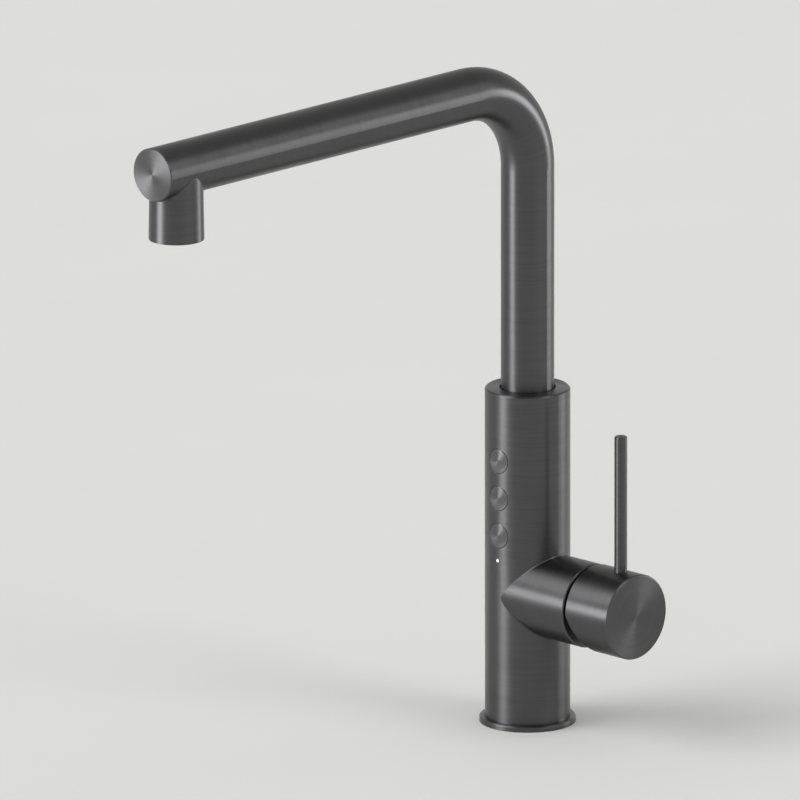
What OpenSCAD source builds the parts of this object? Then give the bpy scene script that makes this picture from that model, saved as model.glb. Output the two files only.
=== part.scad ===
// Drinking water filter tap with a side lever mixer, millimetres, +Z up.
// The origin is on the body's axis at the deck, under the base ring.
// The spout points to -Y, towards the user, and the mixer lever is on the +X side.

/* [Body] */
// Outside diameter of the upright body
body_d = 40; // [39:0.5:43]
// Height of the body's top face above the deck
body_top = 161.3; // [160:0.1:172]
// Chamfer round the body's top edge
body_edge = 0.8; // [0.3:0.1:1.2]
// Wall of the body shell
body_wall = 2; // [1.5:0.1:2.4]
// Bore of the spout socket
socket_d = 26.4; // [26.2:0.1:26.8]
// Thickness of the web between the socket and the inside of the body
web_t = 3; // [2.5:0.1:3.2]

/* [Base] */
// Outside diameter of the base ring
ring_d = 45.2; // [44:0.2:50]
// Height of the base ring
ring_h = 2.7; // [2.5:0.1:4]
// Chamfer round the base ring's upper edge
ring_edge = 0.6; // [0.2:0.1:1]
// Height of the base ring's spigot inside the body
spigot_h = 1.7; // [1.2:0.1:1.8]
// Wall of the base ring's spigot
spigot_wall = 1.4; // [1:0.1:1.6]
// Radial width of the deck gasket
gasket_w = 2.6; // [2:0.1:2.8]
// Thickness of the deck gasket
gasket_t = 1; // [0.8:0.1:1.4]

/* [Inlet plate] */
// Gap from the spigot's top to the snap ring
snap_gap = 0.2; // [0.1:0.1:0.4]
// Thickness of the snap ring
snap_t = 1.2; // [1:0.1:1.5]
// Depth of the snap ring's groove in the body
snap_groove = 0.8; // [0.5:0.1:1]
// Radial width of the snap ring
snap_w = 2.2; // [1.8:0.1:2.3]
// Opening at the front of the snap ring
snap_mouth = 6; // [4:0.5:10]
// Thickness of the inlet plate
plate_t = 12; // [11.5:0.5:14]
// Bore of the hot, cold and filtered hose threads, M10 x 1
hose_d = 9; // [8.8:0.1:9.2]
// Depth of the hose threads
hose_depth = 9.5; // [8:0.5:10]
// Distance of the hot and cold hose ports to the right of the axis
hose_x = 5; // [5:0.1:5.4]
// Distance of the hot and cold hose ports in front of and behind the axis
hose_y = 8.5; // [8.3:0.1:8.6]
// Distance of the filtered water port to the left of the axis
filter_x = 9.8; // [9.5:0.1:10]
// Bore of the fixing stud's thread, M8
stud_d = 6.7; // [6.6:0.05:6.8]
// Depth of the fixing stud's thread
stud_depth = 10; // [8:0.5:10.5]
// Distance of the stud hole and the cable hole to the left of the axis
side_x = 4.5; // [4.4:0.1:4.8]
// Distance of the stud hole behind the axis, and of the cable hole in front of it
side_y = 11; // [10.9:0.1:11.3]
// Diameter of the cable hole
cable_hole_d = 6.4; // [6:0.1:6.6]
// Bore of the cable grommet
cable_d = 4; // [3.6:0.1:4.4]
// Diameter of the plate screws' shanks
plate_screw_d = 3; // [2.8:0.1:3]
// Diameter of the plate screws' heads
plate_screw_head_d = 5.5; // [5:0.1:5.6]
// Height of the plate screws' heads
plate_screw_head_h = 3; // [2.6:0.1:3.2]
// Length of the plate screws in the valve block
plate_screw_grip = 7; // [5:0.5:8]
// Distance of the right-hand plate screw from the axis
screw_x = 12.8; // [12.6:0.1:13]
// Distance of the two other plate screws to the left of the axis
screw_left_x = 11.2; // [11:0.1:11.4]
// Distance of the two other plate screws in front of and behind the axis
screw_left_y = 7.8; // [7.7:0.1:8]

/* [Water ways] */
// Diameter of the drilled water channels
channel_d = 5; // [4.4:0.1:5.2]
// Outside diameter of the mixed water pipe
mixed_pipe_d = 7; // [6.6:0.1:7.2]
// Distance of the mixed water pipe from the axis
mixed_pipe_x = 7.5; // [7.3:0.1:7.6]
// Outside diameter of the filtered water pipe and of the tube in the spout
filter_pipe_d = 6; // [5.6:0.1:6.2]
// Wall of both water pipes
pipe_wall = 1; // [0.8:0.1:1.2]
// Depth of both pipes' ends in the valve block
pipe_seat = 5; // [4:0.5:5.5]
// Thickness of the valve block over the cartridge's seat
block_roof = 2.55; // [2.4:0.05:3]

/* [Spout] */
// Outside diameter of the spout tube
tube_d = 25; // [24.8:0.1:25.2]
// Wall of the spout tube
tube_wall = 1.5; // [1.2:0.1:1.6]
// Height of the level run's axis above the deck
spout_h = 309; // [280:1:340]
// Radius of the bend, at the tube's axis
bend_r = 41.3; // [38:0.1:60]
// Distance of the outlet's axis from the body's axis
spout_reach = 231; // [180:1:260]
// Distance of the tube's end face beyond the outlet's axis
spout_overrun = 15.6; // [15:0.1:25]
// Chamfer round the end cap, and its height
cap_edge = 0.5; // [0.3:0.1:1]
// Distance of the outlet's lower face below the level run's axis
outlet_drop = 32.8; // [30:0.1:40]
// Diameter of the outlet at its lower face
outlet_d = 25.8; // [25.4:0.1:26.6]
// Diameter that the outlet would have at the level run's axis
outlet_top_d = 24.62; // [24.2:0.01:24.7]
// Radius of the inner tube's bend above the outlet
drop_r = 10; // [9:0.1:10.5]

/* [Spout foot] */
// Depth of the tube's lower end below the body's top face
tube_set = 3; // [2.6:0.1:3.4]
// Length of the foot's neck inside the tube
foot_neck = 10.5; // [9:0.5:14]
// Height of the water chamber under the foot
chamber_h = 1.5; // [1:0.1:1.6]
// Height of the filtered water pipe's end above the foot's underside
pipe_stand = 9.5; // [8:0.1:10]
// Diameter of the foot in the socket
foot_d = 24.9; // [24.7:0.1:25]
// Wire thickness of the foot's outer seals
seal_wire = 1.9; // [1.8:0.05:2]
// Height of the glide rings
glide_h = 2; // [1.6:0.1:2.2]
// Depth of the glide rings' grooves in the foot
glide_groove = 0.6; // [0.4:0.1:0.8]
// Greatest swivel of the spout to either side, in degrees
swivel = 75; // [40:5:80]
// Depth of the stop groove in the foot
stop_depth = 1.55; // [1.3:0.05:1.6]
// Diameter of the stop screw's nose
stop_nose_d = 3; // [2.6:0.1:3]
// Diameter of the stop screw's thread, M4
stop_screw_d = 4; // [3.6:0.1:4]

/* [Outlet] */
// Outside diameter of the aerator housing
aerator_d = 21.9; // [21.6:0.1:22]
// Length of the aerator housing
aerator_l = 11; // [10:0.5:12]
// Wall of the aerator housing
aerator_wall = 1.7; // [1.4:0.1:2]
// Depth of the aerator below the outlet's lower face
aerator_set = 0.8; // [0.5:0.1:1.5]
// Thickness of the aerator insert
insert_t = 5.5; // [4:0.5:6]
// Diameter of the spray holes in the insert
spray_d = 1.3; // [1:0.1:1.5]
// Spray holes in the inner row
spray_count = 14; // [10:1:14]
// Distance of the inner row of spray holes from the outlet's axis
spray_row_r = 4.6; // [4.4:0.1:4.8]
// Distance from the inner row of spray holes to the outer one
spray_row_gap = 2.1; // [1.9:0.1:2.3]

/* [Mixer] */
// Outside diameter of the mixer boss
boss_d = 39.8; // [39:0.1:39.8]
// Height of the mixer's axis above the deck
boss_h = 63.35; // [60:0.05:64]
// Distance of the boss's end face from the body's axis
boss_reach = 42; // [41.5:0.1:43]
// Chamfer round the boss's end face
boss_edge = 0.5; // [0.3:0.1:1]
// Bore of the boss's nut thread, M30
nut_bore = 30; // [29.6:0.1:30.4]
// Length of the nut thread
nut_depth = 11; // [10.5:0.1:11.5]
// Depth of the lever's pivot inside the boss's end face
pivot_set = 2; // [1.5:0.1:2.5]
// Greatest tilt of the lever, in degrees
tilt = 22; // [16:1:22]

/* [Cartridge] */
// Outside diameter of the cartridge housing
cart_d = 25; // [24.8:0.1:25.2]
// Length of the cartridge from its seat to its shoulder
cart_l = 25; // [25:0.1:25.4]
// Depth of the cartridge's shoulder inside the boss's end face
cart_set = 5; // [5:0.1:5.4]
// Wall of the cartridge housing
cart_wall = 1.25; // [1:0.05:1.3]
// Outside diameter of the cartridge's neck
neck_d = 19; // [18.8:0.1:19.2]
// Wall of the cartridge's neck
neck_wall = 1.5; // [1.4:0.1:1.6]
// Length of the cartridge's neck
neck_l = 7; // [6.8:0.1:7.2]
// Thickness of each ceramic disc
disc_t = 3; // [2.8:0.1:3]
// Diameter of the cartridge's water ports
port_d = 4.4; // [4:0.1:4.6]
// Distance of the ports from the mixer's axis, along it in height
port_drop = 4; // [3.8:0.1:4.2]
// Distance of the hot and cold ports to the front and back
port_side = 6; // [5.8:0.1:6.2]
// Distance of the outlet port above the mixer's axis
port_rise = 7; // [6.8:0.1:7.2]
// Side of the square stem
stem_w = 6; // [5.6:0.1:6]
// Diameter of the stem's ball end
ball_d = 5.2; // [5:0.1:5.4]
// Distance from the pivot to the ball's centre
ball_arm = 13.5; // [13.3:0.1:13.6]
// Diameter of the stem's pivot pin
pin_d = 3; // [2.8:0.1:3]
// Width of the disc carrier's tongue
tongue_w = 8; // [7.6:0.1:8.2]
// Length of the disc carrier's tongue along its slide
tongue_l = 9; // [8.4:0.1:9.2]
// Diameter of the hollow in the moving disc
hollow_d = 8; // [7.4:0.1:8.2]

/* [Handle] */
// Diameter of the handle hub
hub_d = 40.4; // [39.6:0.1:41]
// Gap between the boss and the hub
hub_gap = 2.2; // [2:0.1:3]
// Length of the hub
hub_l = 26.55; // [25:0.05:30]
// Chamfer round the hub's face
hub_edge = 0.6; // [0.3:0.1:1]
// Slant of the hub's lower rear, in degrees
relief = 24.2; // [23:0.1:28]
// Radius of the trim dome about the pivot
dome_r = 15.5; // [15.2:0.1:15.6]
// Wall of the trim dome
dome_wall = 1.2; // [1:0.1:1.3]
// Distance of the trim dome's mouth from the pivot
dome_mouth = 10; // [9:0.1:10.5]
// Clearance between the dome and the hub's hollow
hub_clear = 1; // [0.8:0.1:1.2]
// Length of the stem in the hub
stem_grip = 9.3; // [9:0.1:10]
// Diameter of the lever rod
rod_d = 6; // [5:0.1:6.4]
// Height of the lever rod's tip above the mixer's axis
rod_top = 85.35; // [70:0.05:110]
// Distance of the lever rod behind the hub's face
rod_back = 10.22; // [9:0.01:11]
// Chamfer round the lever rod's tip
rod_edge = 0.5; // [0.2:0.1:0.8]
// Diameter of the grub screw's thread, M4
grub_d = 4; // [3.6:0.1:4]

/* [Buttons] */
// Diameter of the buttons
button_d = 12; // [11.6:0.1:12.4]
// Distance from one button to the next
button_pitch = 18; // [16.5:0.1:19]
// Depth of the upper button's centre below the body's top face
button_drop = 32.3; // [32:0.1:34]
// Travel of a button
button_travel = 1; // [0.6:0.1:1.2]
// Step round the edge of a button's face, its width and its depth
button_edge = 0.35; // [0.2:0.05:0.5]
// Diameter of the flange that keeps a button in the body
flange_d = 13.6; // [13:0.1:14]
// Distance of the board's screws to either side of the axis
board_screw_x = 9; // [8.8:0.1:9.2]
// Depth of the light's centre below the lower button's
light_drop = 12; // [11.5:0.1:12]
// Diameter of the light's tip
light_d = 1.5; // [1.2:0.1:2]
// Mean diameter of the return springs
spring_d = 8.8; // [8.6:0.1:9]
// Wire of the return springs
spring_wire = 0.5; // [0.4:0.05:0.55]
// Turns of each return spring
spring_turns = 3.5; // [2.5:0.5:3.5]

/* [Hidden] */
$fn = 96;

// Clearances, radial: a part that turns or slides, a part that is pushed in, a part with room
run = 0.05;
fit = 0.05;
room = 0.1;
// Water film between the two ceramic discs
disc_film = 0.03;
// Over-length of a cutting tool
over = 1;

graphite = "#45484b";
brass = "#c9a45c";
rubber = "#232425";
steel = "#b8bcc0";
plastic = "#d9dcdd";
ceramic = "#f1f1ee";
board_green = "#2f6b45";

body_r = body_d / 2;
inner_r = body_r - body_wall;
core_r = inner_r - room;
button_zs = [for (i = [0:2]) body_top - button_drop - i * button_pitch];
web_under = button_zs[0] + flange_d / 2 + 2 * room;
web_top = web_under + web_t;

ring_bore_r = core_r - spigot_wall;
spigot_top = ring_h + spigot_h;
gasket_mid_r = (ring_d / 2 + ring_bore_r) / 2;
snap_z = spigot_top + snap_gap;
snap_out_r = inner_r + snap_groove - room;
plate_z = snap_z + snap_t + room;
plate_top = plate_z + plate_t;
plate_screws_at = [[screw_x, 0], [-screw_left_x, screw_left_y], [-screw_left_x, -screw_left_y]];
plate_head_set = 0.4;
plate_head_z = plate_z + plate_head_set;
hex_depth = 1.5;
seal_lip = 0.4;
plate_seal_w = 2;
plate_seal_depth = 1.5;
plate_seal_wire = plate_seal_depth - 0.02;
hose_ports = [[hose_x, hose_y], [hose_x, -hose_y], [-filter_x, 0]];

// Distances along the mixer's axis, from the body's axis
shoulder = boss_reach - cart_set;
seat = shoulder - cart_l;
cart_in_r = cart_d / 2 - cart_wall;
base_flange_t = 2;
base_spigot_t = 3;
port_seal_depth = 1.5;
port_seal_w = 1.2;
disc_seat = seat + base_flange_t + base_spigot_t;
disc_top = disc_seat + 2 * disc_t;
carrier_lip = 1;
carrier_t = 3;
carrier_rim = 0.25;
tongue_h = 3.5;
carrier_top = disc_top - carrier_lip + carrier_t;
tongue_top = carrier_top + tongue_h;
pivot = boss_reach - pivot_set;
ball_at = pivot - ball_arm;
disc_travel = ball_arm * sin(tilt);
carrier_r = cart_in_r - disc_travel / 2 - 2 * room;
disc_r = carrier_r - carrier_rim;
hollow_shift = 0.67;
neck_end = shoulder + neck_l;
neck_in_r = neck_d / 2 - neck_wall;
neck_set = 0.2;
housing_roof = 2;
rotor_foot = carrier_top + run + room;
rotor_top = shoulder - housing_roof;
tongue_room = 2 * room;
dome_skirt = 2.5;
dome_in_r = dome_r - dome_wall;
dome_end = pivot + dome_mouth;
nut_start = boss_reach - nut_depth + 0.3;
nut_end = boss_reach - dome_skirt - room;
nut_slot_w = 3;
nut_slot_depth = 1.4;
nut_slot_r = 12.4;
hub_rear = boss_reach + hub_gap;
hub_face = hub_rear + hub_l;
hub_hollow_r = dome_r + hub_clear;
hub_floor = pivot + dome_r;
stem_end = hub_floor + stem_grip;
arm_d = 3.6;
arm_top = pivot - stem_w;
rod_x = hub_face - rod_back;
rod_foot = 15;
rod_stud_d = 4.8;
rod_stud_l = 6.5;
grub_l = 6.5;
grub_hex = 2.3;
grub_hex_depth = 2;
plug_set = 0.4;
plug_t = 3;

block_top = boss_h + cart_d / 2 + room + block_roof;
port_z_in = boss_h - port_drop;
port_z_out = boss_h + port_rise;
filter_cross_drop = 3;
filter_cross_z = port_z_out - filter_cross_drop;
pipe_seat_z = block_top - pipe_seat;

foot_z = web_top + chamber_h;
tube_z = body_top - tube_set;
tube_in_r = tube_d / 2 - tube_wall;
foot_top = tube_z + foot_neck;
foot_rib = 0.7;
foot_shoulder = 1.2;
foot_passage_d = 3.6;
foot_passage_r = 7.6;
pipe_top = foot_z + pipe_stand;
inner_tube_set = 6;
inner_tube_z = tube_z - inner_tube_set;
glide_zs = [foot_z + foot_rib, tube_z - foot_shoulder - glide_h];
stop_groove_z = glide_zs[0] + glide_h + room + foot_rib;
stop_groove_h = stop_nose_d + 2 * room;
stop_groove_r = foot_d / 2 - stop_depth;
stop_z = stop_groove_z + stop_groove_h / 2;
stop_tip = stop_groove_r + 3 * room;
stop_shoulder = socket_d / 2 + 2 * room;
stop_tail_set = 1.1;
// Half of the stop groove's arc in degrees: the swivel, half of the nose and half a degree
stop_arc = swivel + asin((stop_nose_d / 2 + room) / stop_groove_r) + 0.5;
seal_r = socket_d / 2 - run - seal_wire / 2;
seal_groove_r = seal_r - seal_wire / 2 - run;
seal_span = glide_zs[1] - stop_groove_z - stop_groove_h;
seal_zs = [for (k = [1, 3]) glide_zs[1] - k * seal_span / 4];
pipe_seal_wire = 1.3;
pipe_seal_r = filter_pipe_d / 2 + run + pipe_seal_wire / 2;
pipe_seal_set = 2.5;
pipe_seal_z = foot_z + pipe_seal_set;

bend_z = spout_h - bend_r;
spout_end = spout_reach + spout_overrun;
cap_plug_l = 4;
outlet_h = spout_h - outlet_drop;
outlet_bore_r = 10;
aerator_z = outlet_h + aerator_set;
aerator_lip = 1.2;
aerator_lip_w = 0.7;
aerator_slot = 2;
aerator_slot_depth = 1.4;
aerator_seal_t = 1.5;
aerator_seal_w = 1.35;
insert_z = aerator_z + aerator_lip;
insert_top = insert_z + insert_t;
insert_r = aerator_d / 2 - aerator_wall - fit;
outlet_shelf = aerator_z + aerator_l + aerator_seal_t;
tip_set = 0.6;
tip_z = aerator_z + tip_set;
tip_collar_l = 6;
tip_collar_wall = 1.3;
tip_grip = 5;
inner_tube_end = insert_top + tip_collar_l;

// Distances from the body's axis towards the front, for the parts behind the buttons
flange_t = 1;
post_d = 3;
post_l = 2.2;
plunger_d = 2.4;
plunger_h = 0.5;
switch_w = 4.5;
switch_h = 3;
board_t = 1.6;
carrier_stand = 1.3;
carrier_plate_t = 1.4;
spring_set = 0.4;
standoff_d = 4;
flange_face = sqrt(inner_r * inner_r - flange_d * flange_d / 4) - 2 * room;
flange_back = flange_face - flange_t;
post_tip = flange_back - post_l;
plunger_tip = post_tip - button_travel - room;
switch_face = plunger_tip - plunger_h;
board_face = switch_face - switch_h;
board_back = board_face - board_t;
carrier_back = board_face + carrier_stand;
carrier_face = carrier_back + carrier_plate_t;
carrier_half_w = 12;
carrier_z = block_top + room;
carrier_end = web_under - room;
spring_seat = carrier_face - spring_set;
spring_l = flange_back - spring_seat - 2 * run;
spring_pitch = (spring_l - spring_wire) / spring_turns;
// Least gap of a spring to itself: between points of its wire from 11 to 13 twelfths of a turn apart
spring_gap = min([
    for (i = [0:12 * (spring_turns - 1)], j = [i + 11:i + 13])
        norm(
            helix_point(spring_d / 2, spring_pitch, j / 12)
            - helix_point(spring_d / 2, spring_pitch, i / 12)
        )
]) - spring_wire;
echo(spring_gap_mm = spring_gap);
board_half_w = 11.5;
board_gap = 0.7;
board_z = block_top + board_gap;
board_end = web_under - board_gap;
board_screw_d = 1.8;
board_screw_head_d = 3.4;
board_screw_head_h = 1.2;
connector_w = 7.5;
connector_t = 4.2;
connector_h = 6;
connector_set = 4;
light_z = button_zs[2] - light_drop;
light_gap = 1.1;
light_collar_d = 3;
diode_w = 2;
diode_t = 1;
board_screws_at = [
    for (x = [-board_screw_x, board_screw_x], i = [0, 1]) [x, button_zs[i] - button_pitch / 2]
];

// Round bar on the z axis from one height to another
module bar(d, z0, z1) {
    translate([0, 0, z0]) cylinder(d = d, h = z1 - z0);
}

// Bar with a straight bore right through it
module pipe(d, bore, z0, z1) {
    difference() {
        bar(d, z0, z1);
        bar(bore, z0 - over, z1 + over);
    }
}

// Bar whose upper edge is chamfered
module edged_bar(d, z0, z1, edge) {
    rotate_extrude() polygon([[0, z0], [d / 2, z0], [d / 2, z1 - edge], [d / 2 - edge, z1], [0, z1]]);
}

// Ring of round wire about the z axis
module wire_ring(mean_r, wire, z) {
    translate([0, 0, z]) rotate_extrude() translate([mean_r, 0]) circle(d = wire, $fn = 32);
}

// Places its children with z along the mixer's axis, x downwards and y to the back
module on_mixer() {
    translate([0, 0, boss_h]) rotate([0, 90, 0]) children();
}

// Places its children with z towards the front, x to the right and y upwards
module on_front(z = 0) {
    translate([0, 0, z]) rotate([90, 0, 0]) children();
}

// Base

module base_gasket() {
    color(rubber) pipe(2 * gasket_mid_r + gasket_w, 2 * gasket_mid_r - gasket_w, 0, gasket_t);
}

module base_ring() {
    color(graphite) difference() {
        union() {
            edged_bar(ring_d, 0, ring_h, ring_edge);
            bar(2 * core_r, 0, spigot_top);
        }
        bar(2 * ring_bore_r, -over, spigot_top + over);
        pipe(2 * (gasket_mid_r + fit) + gasket_w, 2 * (gasket_mid_r - fit) - gasket_w, -over, gasket_t + fit);
    }
}

// Snap ring, open at the front so that it can be squeezed into its groove
module plate_snap_ring() {
    color(steel) difference() {
        pipe(2 * snap_out_r, 2 * (snap_out_r - snap_w), snap_z, snap_z + snap_t);
        translate([-snap_mouth / 2, -body_r, snap_z - over]) cube([snap_mouth, body_r, snap_t + 2 * over]);
    }
}

// Inlet plate: threads for three hoses and the stud, and the cable's hole
module inlet_plate() {
    color(brass) difference() {
        bar(2 * core_r, plate_z, plate_top);
        for (p = hose_ports) translate([p[0], p[1], 0]) {
            bar(hose_d, plate_z - over, plate_z + hose_depth);
            bar(channel_d, plate_z, plate_top + over);
        }
        translate([-side_x, side_y, 0]) bar(stud_d, plate_z - over, plate_z + stud_depth);
        translate([-side_x, -side_y, 0]) bar(cable_hole_d, plate_z - over, plate_top + over);
        for (p = plate_screws_at) translate([p[0], p[1], 0]) {
            bar(plate_screw_d + 2 * room, plate_z - over, plate_top + over);
            bar(plate_screw_head_d + 2 * room, plate_z - over, plate_head_z + plate_screw_head_h);
        }
    }
}

// Socket head screws that hold the plate to the valve block
module plate_screws() {
    color(steel) for (p = plate_screws_at) translate([p[0], p[1], 0]) difference() {
        union() {
            bar(plate_screw_head_d, plate_head_z, plate_head_z + plate_screw_head_h);
            bar(plate_screw_d, plate_head_z + plate_screw_head_h, plate_top + plate_screw_grip);
        }
        translate([0, 0, plate_head_z - over])
            cylinder(d = plate_screw_d - room, h = hex_depth + over, $fn = 6);
    }
}

module plate_seals() {
    seal_mid_r = channel_d / 2 + seal_lip + plate_seal_w / 2;
    color(rubber) for (p = hose_ports) translate([p[0], p[1], 0])
        wire_ring(seal_mid_r, plate_seal_wire, plate_top + plate_seal_depth / 2);
}

// Rubber grommet in the plate: the cable's inlet
module cable_grommet() {
    color(rubber) translate([-side_x, -side_y, 0])
        pipe(cable_hole_d - 2 * fit, cable_d, plate_z, plate_top);
}

// Valve block: seat for the cartridge, and the channels that lead to it and away
module valve_block() {
    color(brass) difference() {
        bar(2 * core_r, plate_top, block_top);
        on_mixer() bar(cart_d + 2 * fit, seat, body_r + over);
        for (y = [-1, 1]) {
            translate([hose_x, y * hose_y, 0]) bar(channel_d, plate_top - over, port_z_in + port_d / 2);
            translate([0, y * port_side, port_z_in]) rotate([0, 90, 0]) bar(port_d, hose_x, seat + over);
        }
        translate([mixed_pipe_x, 0, 0]) {
            bar(channel_d, port_z_out, block_top);
            bar(mixed_pipe_d + 2 * fit, pipe_seat_z, block_top + over);
        }
        translate([0, 0, port_z_out]) rotate([0, 90, 0]) bar(port_d, mixed_pipe_x, seat + over);
        translate([-filter_x, 0, 0]) bar(channel_d, plate_top - over, filter_cross_z + port_d / 2);
        translate([0, 0, filter_cross_z]) rotate([0, 90, 0]) bar(port_d, -filter_x, 0);
        bar(filter_pipe_d - 2 * pipe_wall, filter_cross_z, block_top);
        bar(filter_pipe_d + 2 * fit, pipe_seat_z, block_top + over);
        translate([-side_x, -side_y, 0]) bar(cable_hole_d, plate_top - over, block_top + over);
        for (p = plate_screws_at) translate([p[0], p[1], 0])
            bar(plate_screw_d + 2 * fit, plate_top - over, plate_top + plate_screw_grip + over);
        for (p = hose_ports) translate([p[0], p[1], 0])
            pipe(
                channel_d + 2 * (seal_lip + plate_seal_w),
                channel_d + 2 * seal_lip,
                plate_top - over,
                plate_top + plate_seal_depth
            );
    }
}

// Body

// Shell of the body with the mixer boss, open below, with the spout socket above its web
module body_shell() {
    color(graphite) difference() {
        union() {
            edged_bar(body_d, ring_h, body_top, body_edge);
            on_mixer() edged_bar(boss_d, 0, boss_reach, boss_edge);
        }
        bar(2 * inner_r, ring_h - over, web_under);
        bar(socket_d, web_top, body_top + over);
        bar(filter_pipe_d + 2 * fit, web_under - over, web_top + over);
        translate([mixed_pipe_x, 0, 0]) bar(mixed_pipe_d + 2 * fit, web_under - over, web_top + over);
        pipe(2 * (inner_r + snap_groove), inner_r, snap_z - room, snap_z + snap_t + room);
        on_mixer() {
            bar(cart_d + 2 * room, 0, boss_reach + over);
            bar(nut_bore, boss_reach - nut_depth, boss_reach + over);
        }
        for (z = button_zs) on_front(z) bar(button_d + 2 * run, 0, body_r + over);
        on_front(light_z) bar(light_d + 2 * fit, 0, body_r + over);
        translate([0, 0, stop_z]) rotate([-90, 0, 0]) bar(stop_screw_d + 2 * fit, 0, body_r + over);
    }
}

module mixed_water_pipe() {
    color(brass) translate([mixed_pipe_x, 0, 0])
        pipe(mixed_pipe_d, mixed_pipe_d - 2 * pipe_wall, pipe_seat_z, web_top);
}

module filtered_water_pipe() {
    color(brass) pipe(filter_pipe_d, filter_pipe_d - 2 * pipe_wall, pipe_seat_z, pipe_top);
}

// Grub screw at the back whose nose runs in the foot's groove: it keeps the spout in and stops it
module spout_stop_screw() {
    tail = body_r - stop_tail_set;
    color(steel) translate([0, 0, stop_z]) rotate([-90, 0, 0]) difference() {
        union() {
            bar(stop_nose_d, stop_tip, stop_shoulder);
            bar(stop_screw_d, stop_shoulder, tail);
        }
        translate([0, 0, tail - grub_hex_depth]) cylinder(d = grub_hex, h = grub_hex_depth + over, $fn = 6);
    }
}

// Controls

// Holes for the board's four screws, from one depth to another
module board_screw_holes(d, z0, z1) {
    for (p = board_screws_at) on_front(p[1]) translate([p[0], 0, 0]) bar(d, z0, z1);
}

// Moulded carrier that stands on the valve block and holds the board and the springs
module switch_carrier() {
    window = switch_w + 3 * room;
    color(plastic) difference() {
        union() {
            translate([-carrier_half_w, -carrier_face, carrier_z])
                cube([2 * carrier_half_w, carrier_plate_t, carrier_end - carrier_z]);
            intersection() {
                bar(2 * core_r, carrier_z, carrier_end);
                for (x = [-body_r, carrier_half_w])
                    translate([x, -carrier_face, carrier_z])
                        cube([body_r - carrier_half_w, carrier_face - board_back, carrier_end - carrier_z]);
            }
            board_screw_holes(standoff_d, board_face, carrier_back + room);
        }
        for (z = button_zs) on_front(z) {
            translate([-window / 2, -window / 2, carrier_back - over])
                cube([window, window, carrier_plate_t + 2 * over]);
            pipe(
                spring_d + spring_wire + 4 * room,
                spring_d - spring_wire - 4 * room,
                spring_seat,
                carrier_face + over
            );
        }
        on_front(light_z) {
            bar(light_d + 2 * fit, board_face, carrier_face + over);
            bar(light_collar_d + 2 * room, board_face, carrier_back + carrier_plate_t / 2);
        }
        board_screw_holes(board_screw_d + 2 * fit, board_face - over, carrier_face + over);
    }
}

module switch_board() {
    color(board_green) difference() {
        translate([-board_half_w, -board_face, board_z])
            cube([2 * board_half_w, board_t, board_end - board_z]);
        board_screw_holes(board_screw_d + 2 * room, board_back - over, board_face + over);
    }
}

module board_screws() {
    color(steel) {
        board_screw_holes(board_screw_head_d, board_back - board_screw_head_h, board_back);
        board_screw_holes(board_screw_d, board_back, carrier_face - 2 * room);
    }
}

// One small switch behind each button, all alike
module tact_switches() {
    color(rubber) for (z = button_zs) on_front(z) {
        translate([-switch_w / 2, -switch_w / 2, board_face]) cube([switch_w, switch_w, switch_h]);
        bar(plunger_d, switch_face, plunger_tip);
    }
}

module board_connector() {
    color(plastic) translate([-board_half_w + board_gap, -board_back, board_z + connector_set])
        cube([connector_w, connector_t, connector_h]);
}

module status_light() {
    color(ceramic) translate([-diode_w / 2, -board_face - diode_t, light_z - diode_w / 2])
        cube([diode_w, diode_t, diode_w]);
}

// Clear rod whose tip is the light on the front, flush with the body
module light_guide() {
    color("white") intersection() {
        on_front(light_z) {
            bar(light_d, board_face + light_gap, body_r + over);
            bar(light_collar_d, board_face + light_gap, carrier_back + carrier_plate_t / 2 - room);
        }
        bar(body_d, light_z - light_collar_d, light_z + light_collar_d);
    }
}

// Point of a helix of given mean radius and pitch, t turns up from its start
function helix_point(r, pitch, t) = [r * cos(360 * t), r * sin(360 * t), pitch * t];

// Corners of the wire's section at t turns: a ring in the plane of the axis and the radius
function wire_section(r, pitch, wire, t, sides) = [
    for (k = [0:sides - 1])
        helix_point(r + wire / 2 * cos(360 * k / sides), pitch, t) + [0, 0, wire / 2 * sin(360 * k / sides)]
];

// Return spring of one button: closed helical wire between the carrier and the button's flange
module button_spring(z) {
    sides = 6;
    rings = 12 * spring_turns;
    points = [
        for (i = [0:rings], p = wire_section(spring_d / 2, spring_pitch, spring_wire, i / 12, sides))
            p + [0, 0, spring_wire / 2]
    ];
    skin = [
        for (i = [0:rings - 1], k = [0:sides - 1], half = [0, 1])
            let (a = i * sides + k, b = i * sides + (k + 1) % sides)
            half == 0 ? [a, b, b + sides] : [a, b + sides, a + sides]
    ];
    first = [for (k = [1:sides - 2]) [0, k + 1, k]];
    last = [for (k = [1:sides - 2]) [0, k, k + 1] + rings * sides * [1, 1, 1]];
    color(steel) on_front(z) translate([0, 0, spring_seat + run])
        polyhedron(points, concat(skin, first, last));
}

module spring_top() {
    button_spring(button_zs[0]);
}

module spring_middle() {
    button_spring(button_zs[1]);
}

module spring_bottom() {
    button_spring(button_zs[2]);
}

// Button: cap curved like the body, with a small step round its face, a flange that keeps it in
// the body, and the post that presses the switch
module front_button(z) {
    color(graphite) {
        for (step = [0, button_edge]) intersection() {
            on_front(z) bar(button_d - 2 * step, flange_back, body_r + over);
            bar(body_d - 2 * (button_edge - step), z - button_d, z + button_d);
        }
        on_front(z) {
            bar(flange_d, flange_back, flange_face);
            bar(post_d, post_tip, flange_back);
        }
    }
}

module button_top() {
    front_button(button_zs[0]);
}

module button_middle() {
    front_button(button_zs[1]);
}

module button_bottom() {
    front_button(button_zs[2]);
}

// Spout

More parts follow.
